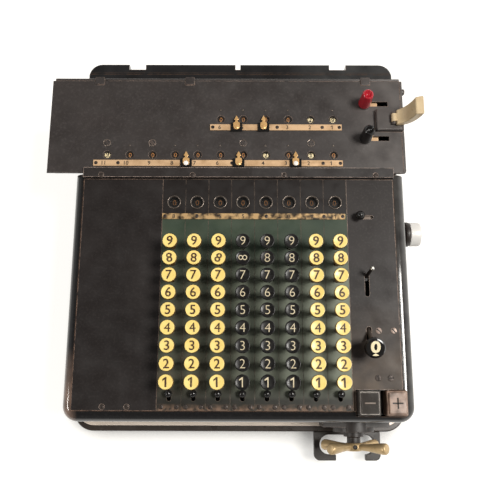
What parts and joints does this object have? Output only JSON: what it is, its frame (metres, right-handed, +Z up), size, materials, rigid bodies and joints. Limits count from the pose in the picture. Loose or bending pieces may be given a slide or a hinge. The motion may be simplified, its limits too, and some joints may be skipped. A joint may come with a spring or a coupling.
{
  "type": "mechanical calculator",
  "caption": "Desk calculating machine with a full keyboard of round keys, a sliding register carriage with number windows, clear knobs and a cross handle that shifts it.",
  "frame": {"origin": "centre of the machine's box on the table under the feet, carriage at its left stop", "axes": "+X to the operator's right, along the carriage; +Y away from the operator; +Z up"},
  "size_m": [0.3218, 0.3504, 0.1305],
  "materials": {
    "enamel": "glossy black enamel, worn at the edges",
    "panel_black": "satin black paint",
    "plate_green": "dark green paint, worn to metal in front",
    "rubber": "matt black rubber",
    "nickel": "dull nickel plate",
    "steel": "bare steel",
    "motor_iron": "black painted iron",
    "brass": "worn brass",
    "glass": "clear glass",
    "ivory": "yellowed ivory plastic",
    "black_plastic": "glossy black plastic",
    "worn_key": "black key worn brown",
    "red_plastic": "red plastic",
    "cream_plastic": "cream plastic",
    "dial_black": "black number drums"
  },
  "bodies": {
    "machine": {"base_plate": "enamel", "rubber_feet": "rubber", "foot_moulding": "nickel", "casing": "enamel", "left_panel": "panel_black", "right_panel": "panel_black", "column_plates": "plate_green", "panel_screws": "steel", "keyboard_strip": "brass", "window_rings": "nickel", "window_glasses": "glass", "front_rail": "panel_black", "deck_rails": "steel", "handle_guard": "enamel", "shift_bearing": "enamel", "inner_frame": "steel", "motor": "motor_iron"},
    "carriage": {"carriage_cover": "panel_black", "carriage_bed": "steel", "carriage_rack": "steel", "counter_strip": "brass", "result_strip": "brass"},
    "drive": {"drum_shaft": "steel", "stepped_drums": "steel", "side_knob": "nickel"},
    "motor_pinion": {"motor_pinion": "steel"},
    "check_dials": {"check_dials": "dial_black"},
    "shift_handle": {"shift_handle": "brass", "shift_shaft": "steel"},
    "result_dials": {"result_dials": "dial_black"},
    "counter_dials": {"counter_dials": "dial_black"},
    "keys_column_1": {"keys_column_1": "ivory"},
    "keys_column_2": {"keys_column_2": "ivory"},
    "keys_column_3": {"keys_column_3": "ivory"},
    "keys_column_4": {"keys_column_4": "black_plastic"},
    "keys_column_5": {"keys_column_5": "black_plastic"},
    "keys_column_6": {"keys_column_6": "black_plastic"},
    "keys_column_7": {"keys_column_7": "ivory"},
    "keys_column_8": {"keys_column_8": "ivory"},
    "clear_button_1": {"clear_button_1": "black_plastic"},
    "clear_button_2": {"clear_button_2": "black_plastic"},
    "clear_button_3": {"clear_button_3": "black_plastic"},
    "clear_button_4": {"clear_button_4": "black_plastic"},
    "clear_button_5": {"clear_button_5": "black_plastic"},
    "clear_button_6": {"clear_button_6": "black_plastic"},
    "clear_button_7": {"clear_button_7": "black_plastic"},
    "clear_button_8": {"clear_button_8": "black_plastic"},
    "minus_key": {"minus_key": "black_plastic"},
    "plus_key": {"plus_key": "worn_key"},
    "zero_lever": {"zero_lever": "black_plastic"},
    "mode_lever": {"mode_lever": "nickel"},
    "dial_lever": {"dial_lever": "black_plastic"},
    "counter_marker_1": {"counter_marker_1": "brass"},
    "counter_marker_2": {"counter_marker_2": "brass"},
    "result_marker_1": {"result_marker_1": "brass"},
    "result_marker_2": {"result_marker_2": "brass"},
    "result_marker_3": {"result_marker_3": "brass"},
    "counter_clear_knob": {"counter_clear_knob": "red_plastic"},
    "result_clear_knob": {"result_clear_knob": "black_plastic"},
    "thumb_lever": {"thumb_lever": "cream_plastic"}
  },
  "joints": [
    {"name": "carriage_shift", "type": "slide", "parent": "machine", "child": "carriage", "axis": [1, 0, 0], "range_m": [0, 0.095]},
    {"name": "handle_turn", "type": "hinge", "parent": "machine", "child": "shift_handle", "pos_m": [0.09465, -0.16055, 0.05502], "axis": [0, 1, 0], "range_deg": [-1, 226]},
    {"name": "drum_turn", "type": "hinge", "parent": "machine", "child": "drive", "pos_m": [0.01165, 0.02375, 0.04302], "axis": [1, 0, 0], "continuous": true},
    {"name": "motor_turn", "type": "hinge", "parent": "machine", "child": "motor_pinion", "pos_m": [-0.07435, -0.0058, 0.0482], "axis": [1, 0, 0], "continuous": true},
    {"name": "check_turn", "type": "hinge", "parent": "machine", "child": "check_dials", "pos_m": [0.01165, 0.03675, 0.086], "axis": [1, 0, 0], "continuous": true},
    {"name": "press_column_1", "type": "slide", "parent": "machine", "child": "keys_column_1", "axis": [0, 0, -1], "range_m": [0, 0.005], "stiffness_N_per_m": 300, "springref_m": -0.01},
    {"name": "press_column_2", "type": "slide", "parent": "machine", "child": "keys_column_2", "axis": [0, 0, -1], "range_m": [0, 0.005], "stiffness_N_per_m": 300, "springref_m": -0.01},
    {"name": "press_column_3", "type": "slide", "parent": "machine", "child": "keys_column_3", "axis": [0, 0, -1], "range_m": [0, 0.005], "stiffness_N_per_m": 300, "springref_m": -0.01},
    {"name": "press_column_4", "type": "slide", "parent": "machine", "child": "keys_column_4", "axis": [0, 0, -1], "range_m": [0, 0.005], "stiffness_N_per_m": 300, "springref_m": -0.01},
    {"name": "press_column_5", "type": "slide", "parent": "machine", "child": "keys_column_5", "axis": [0, 0, -1], "range_m": [0, 0.005], "stiffness_N_per_m": 300, "springref_m": -0.01},
    {"name": "press_column_6", "type": "slide", "parent": "machine", "child": "keys_column_6", "axis": [0, 0, -1], "range_m": [0, 0.005], "stiffness_N_per_m": 300, "springref_m": -0.01},
    {"name": "press_column_7", "type": "slide", "parent": "machine", "child": "keys_column_7", "axis": [0, 0, -1], "range_m": [0, 0.005], "stiffness_N_per_m": 300, "springref_m": -0.01},
    {"name": "press_column_8", "type": "slide", "parent": "machine", "child": "keys_column_8", "axis": [0, 0, -1], "range_m": [0, 0.005], "stiffness_N_per_m": 300, "springref_m": -0.01},
    {"name": "clear_column_1", "type": "slide", "parent": "machine", "child": "clear_button_1", "axis": [0, -1, 0], "range_m": [0, 0.004], "stiffness_N_per_m": 80, "springref_m": -0.006},
    {"name": "clear_column_2", "type": "slide", "parent": "machine", "child": "clear_button_2", "axis": [0, -1, 0], "range_m": [0, 0.004], "stiffness_N_per_m": 80, "springref_m": -0.006},
    {"name": "clear_column_3", "type": "slide", "parent": "machine", "child": "clear_button_3", "axis": [0, -1, 0], "range_m": [0, 0.004], "stiffness_N_per_m": 80, "springref_m": -0.006},
    {"name": "clear_column_4", "type": "slide", "parent": "machine", "child": "clear_button_4", "axis": [0, -1, 0], "range_m": [0, 0.004], "stiffness_N_per_m": 80, "springref_m": -0.006},
    {"name": "clear_column_5", "type": "slide", "parent": "machine", "child": "clear_button_5", "axis": [0, -1, 0], "range_m": [0, 0.004], "stiffness_N_per_m": 80, "springref_m": -0.006},
    {"name": "clear_column_6", "type": "slide", "parent": "machine", "child": "clear_button_6", "axis": [0, -1, 0], "range_m": [0, 0.004], "stiffness_N_per_m": 80, "springref_m": -0.006},
    {"name": "clear_column_7", "type": "slide", "parent": "machine", "child": "clear_button_7", "axis": [0, -1, 0], "range_m": [0, 0.004], "stiffness_N_per_m": 80, "springref_m": -0.006},
    {"name": "clear_column_8", "type": "slide", "parent": "machine", "child": "clear_button_8", "axis": [0, -1, 0], "range_m": [0, 0.004], "stiffness_N_per_m": 80, "springref_m": -0.006},
    {"name": "press_minus", "type": "slide", "parent": "machine", "child": "minus_key", "axis": [0, 0, -1], "range_m": [0, 0.004], "stiffness_N_per_m": 250, "springref_m": -0.01},
    {"name": "press_plus", "type": "slide", "parent": "machine", "child": "plus_key", "axis": [0, 0, -1], "range_m": [0, 0.004], "stiffness_N_per_m": 250, "springref_m": -0.01},
    {"name": "pull_zero", "type": "hinge", "parent": "machine", "child": "zero_lever", "pos_m": [0.10215, -0.05625, 0.081], "axis": [1, 0, 0], "range_deg": [0, 12], "stiffness_Nm_per_rad": 0.15, "springref_deg": -17.19},
    {"name": "set_mode", "type": "slide", "parent": "machine", "child": "mode_lever", "axis": [0, -1, 0], "range_m": [0, 0.015]},
    {"name": "set_dials", "type": "slide", "parent": "machine", "child": "dial_lever", "axis": [1, 0, 0], "range_m": [0, 0.01]},
    {"name": "slide_counter_marker_1", "type": "slide", "parent": "carriage", "child": "counter_marker_1", "axis": [1, 0, 0], "range_m": [-0.006, 0.006]},
    {"name": "slide_counter_marker_2", "type": "slide", "parent": "carriage", "child": "counter_marker_2", "axis": [1, 0, 0], "range_m": [-0.006, 0.04]},
    {"name": "slide_result_marker_1", "type": "slide", "parent": "carriage", "child": "result_marker_1", "axis": [1, 0, 0], "range_m": [-0.06, 0.015]},
    {"name": "slide_result_marker_2", "type": "slide", "parent": "carriage", "child": "result_marker_2", "axis": [1, 0, 0], "range_m": [-0.015, 0.015]},
    {"name": "slide_result_marker_3", "type": "slide", "parent": "carriage", "child": "result_marker_3", "axis": [1, 0, 0], "range_m": [-0.015, 0.02]},
    {"name": "clear_counter", "type": "slide", "parent": "carriage", "child": "counter_clear_knob", "axis": [1, 0, 0], "range_m": [0, 0.015], "stiffness_N_per_m": 60, "springref_m": -0.01},
    {"name": "clear_result", "type": "slide", "parent": "carriage", "child": "result_clear_knob", "axis": [1, 0, 0], "range_m": [0, 0.015], "stiffness_N_per_m": 60, "springref_m": -0.01},
    {"name": "lift_lever", "type": "hinge", "parent": "carriage", "child": "thumb_lever", "pos_m": [0.12815, 0.1078, 0.11], "axis": [0, -1, 0], "range_deg": [0, 25], "stiffness_Nm_per_rad": 0.05, "springref_deg": -17.19},
    {"name": "result_turn", "type": "hinge", "parent": "carriage", "child": "result_dials", "pos_m": [-0.01685, 0.07725, 0.0935], "axis": [1, 0, 0], "range_deg": [-1, 361]},
    {"name": "counter_turn", "type": "hinge", "parent": "carriage", "child": "counter_dials", "pos_m": [0.03065, 0.10925, 0.0935], "axis": [1, 0, 0], "range_deg": [-1, 361]}
  ],
  "couplings": [
    {"joint": "handle_turn", "follows": "carriage_shift", "rad_per_m": 41.337},
    {"joint": "motor_turn", "follows": "drum_turn", "ratio": -2},
    {"joint": "result_turn", "follows": "clear_result", "rad_per_m": 418.88},
    {"joint": "counter_turn", "follows": "clear_counter", "rad_per_m": 418.88}
  ]
}
